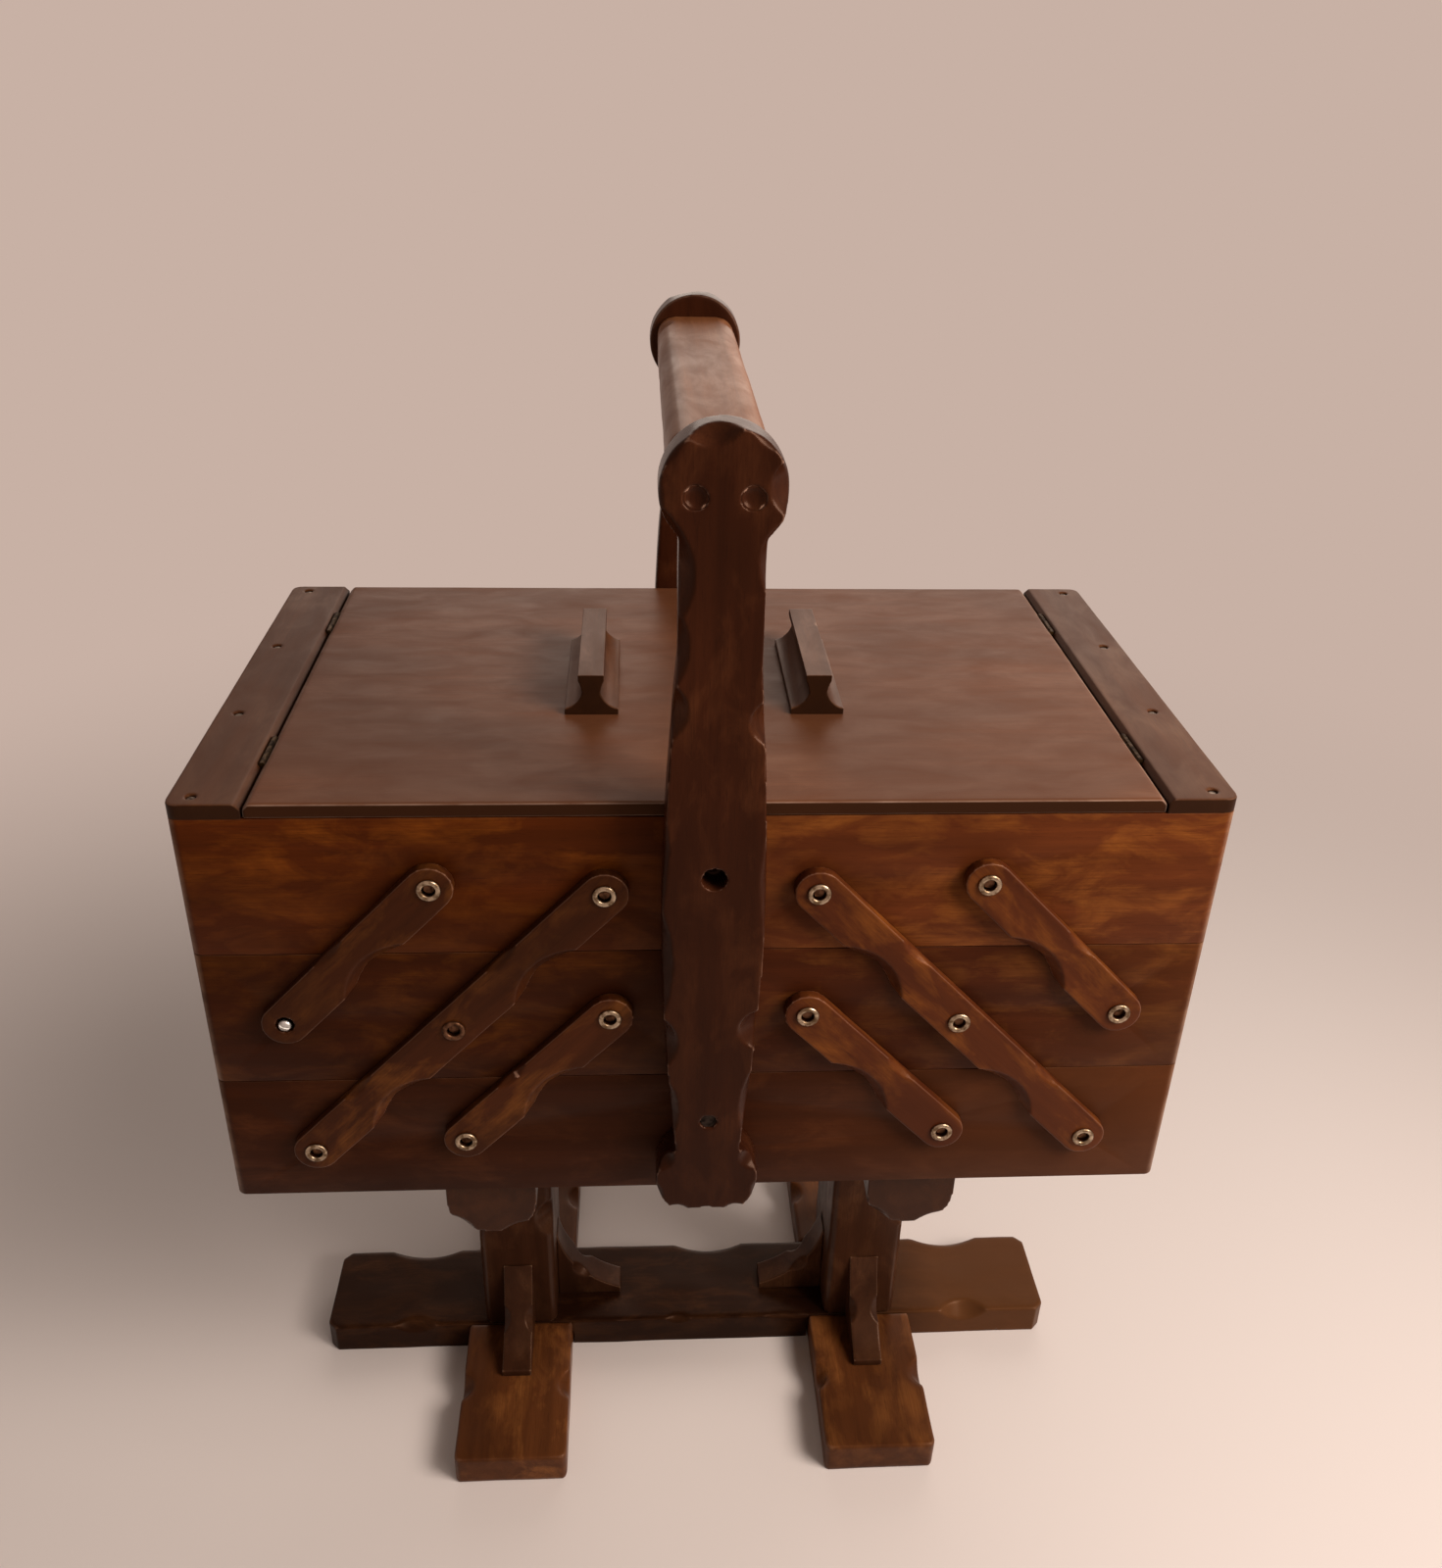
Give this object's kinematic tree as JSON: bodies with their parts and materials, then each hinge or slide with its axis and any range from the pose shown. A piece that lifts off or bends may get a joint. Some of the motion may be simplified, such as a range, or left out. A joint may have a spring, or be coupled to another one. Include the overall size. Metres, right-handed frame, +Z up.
{
  "type": "sewing box on stand",
  "caption": "Wooden cantilever sewing box: tiers of trays swing out on riveted arms under hinged lids, with a carrying bar over it, on a carved post-and-foot stand.",
  "frame": {"origin": "on the floor, under the middle of the box", "axes": "+Z up, +X to the box's right, -Y towards the front"},
  "size_m": [0.45, 0.288, 0.604],
  "materials": {
    "tray_wood": "amber-brown stained wood, satin",
    "arm_wood": "brown stained wood, satin",
    "lid_wood": "mid-brown stained wood, worn matte",
    "dark_carved_wood": "dark red-brown stained carved wood, satin",
    "plywood_panel": "pale brown plywood, matte",
    "nickelled_rivet": "nickel-plated, lightly tarnished",
    "zinc_screw": "zinc-plated",
    "brass_hinge": "aged brass",
    "steel_fixing": "dull steel"
  },
  "bodies": {
    "box_and_stand": {"bearer_left": "dark_carved_wood", "bearer_right": "dark_carved_wood", "bottom_end_boards": "tray_wood", "bottom_floor": "plywood_panel", "bottom_front_board": "tray_wood", "bottom_rear_board": "tray_wood", "bottom_rivets": "nickelled_rivet", "braces_left": "dark_carved_wood", "braces_right": "dark_carved_wood", "foot_left": "dark_carved_wood", "foot_right": "dark_carved_wood", "handle_bar": "dark_carved_wood", "handle_plugs": "dark_carved_wood", "handle_screws": "steel_fixing", "post_left": "dark_carved_wood", "post_right": "dark_carved_wood", "stand_screws": "steel_fixing", "stretcher": "dark_carved_wood", "upright_front": "dark_carved_wood", "upright_rear": "dark_carved_wood", "upright_screws": "steel_fixing"},
    "lid_left": {"lid_hinge_leaves_left": "brass_hinge", "lid_left": "lid_wood", "pull_left": "lid_wood"},
    "lid_right": {"lid_hinge_leaves_right": "brass_hinge", "lid_right": "lid_wood", "pull_right": "lid_wood"},
    "long_arms_left": {"long_arms_left": "arm_wood"},
    "long_arms_right": {"long_arms_right": "arm_wood"},
    "lower_arms_left": {"lower_arms_left": "arm_wood"},
    "lower_arms_right": {"lower_arms_right": "arm_wood"},
    "middle_tray_left": {"middle_left_end_boards": "tray_wood", "middle_left_floor": "plywood_panel", "middle_left_front_board": "tray_wood", "middle_left_rear_board": "tray_wood", "middle_left_rivets": "nickelled_rivet", "repair_screw": "zinc_screw"},
    "middle_tray_right": {"middle_right_end_boards": "tray_wood", "middle_right_floor": "plywood_panel", "middle_right_front_board": "tray_wood", "middle_right_rear_board": "tray_wood", "middle_right_rivets": "nickelled_rivet"},
    "top_tray_left": {"strip_hinge_leaves_left": "brass_hinge", "strip_left": "lid_wood", "strip_nails_left": "steel_fixing", "top_left_end_boards": "tray_wood", "top_left_floor": "plywood_panel", "top_left_front_board": "tray_wood", "top_left_rear_board": "tray_wood", "top_left_rivets": "nickelled_rivet"},
    "top_tray_right": {"strip_hinge_leaves_right": "brass_hinge", "strip_nails_right": "steel_fixing", "strip_right": "lid_wood", "top_right_end_boards": "tray_wood", "top_right_floor": "plywood_panel", "top_right_front_board": "tray_wood", "top_right_rear_board": "tray_wood", "top_right_rivets": "nickelled_rivet"},
    "upper_arms_left": {"upper_arms_left": "arm_wood"},
    "upper_arms_right": {"upper_arms_right": "arm_wood"}
  },
  "joints": [
    {"name": "swing_left", "type": "hinge", "parent": "box_and_stand", "child": "long_arms_left", "pos_m": [-0.1825, 0, 0.2595], "axis": [0, -1, 0], "range_deg": [0, 88]},
    {"name": "middle_level_left", "type": "hinge", "parent": "long_arms_left", "child": "middle_tray_left", "pos_m": [-0.11425, 0, 0.33015], "axis": [0, -1, 0], "range_deg": [-88, 0]},
    {"name": "top_level_left", "type": "hinge", "parent": "long_arms_left", "child": "top_tray_left", "pos_m": [-0.046, 0, 0.4008], "axis": [0, -1, 0], "range_deg": [-88, 0]},
    {"name": "lower_arm_left", "type": "hinge", "parent": "box_and_stand", "child": "lower_arms_left", "pos_m": [-0.11275, 0, 0.2645], "axis": [0, -1, 0], "range_deg": [0, 88]},
    {"name": "upper_arm_left", "type": "hinge", "parent": "middle_tray_left", "child": "upper_arms_left", "pos_m": [-0.188, 0, 0.334], "axis": [0, -1, 0], "range_deg": [0, 88]},
    {"name": "lid_hinge_left", "type": "hinge", "parent": "top_tray_left", "child": "lid_left", "pos_m": [-0.194, 0, 0.4411], "axis": [0, -1, 0], "range_deg": [0, 105]},
    {"name": "swing_right", "type": "hinge", "parent": "box_and_stand", "child": "long_arms_right", "pos_m": [0.1825, 0, 0.2595], "axis": [0, 1, 0], "range_deg": [0, 88]},
    {"name": "middle_level_right", "type": "hinge", "parent": "long_arms_right", "child": "middle_tray_right", "pos_m": [0.11425, 0, 0.33015], "axis": [0, 1, 0], "range_deg": [-88, 0]},
    {"name": "top_level_right", "type": "hinge", "parent": "long_arms_right", "child": "top_tray_right", "pos_m": [0.046, 0, 0.4008], "axis": [0, 1, 0], "range_deg": [-88, 0]},
    {"name": "lower_arm_right", "type": "hinge", "parent": "box_and_stand", "child": "lower_arms_right", "pos_m": [0.11275, 0, 0.2645], "axis": [0, 1, 0], "range_deg": [0, 88]},
    {"name": "upper_arm_right", "type": "hinge", "parent": "middle_tray_right", "child": "upper_arms_right", "pos_m": [0.188, 0, 0.334], "axis": [0, 1, 0], "range_deg": [0, 88]},
    {"name": "lid_hinge_right", "type": "hinge", "parent": "top_tray_right", "child": "lid_right", "pos_m": [0.194, 0, 0.4411], "axis": [0, 1, 0], "range_deg": [0, 105]}
  ],
  "couplings": [
    {"joint": "middle_level_left", "follows": "swing_left", "ratio": -1},
    {"joint": "top_level_left", "follows": "swing_left", "ratio": -1},
    {"joint": "lower_arm_left", "follows": "swing_left", "ratio": 1},
    {"joint": "upper_arm_left", "follows": "swing_left", "ratio": 1},
    {"joint": "middle_level_right", "follows": "swing_right", "ratio": -1},
    {"joint": "top_level_right", "follows": "swing_right", "ratio": -1},
    {"joint": "lower_arm_right", "follows": "swing_right", "ratio": 1},
    {"joint": "upper_arm_right", "follows": "swing_right", "ratio": 1}
  ]
}
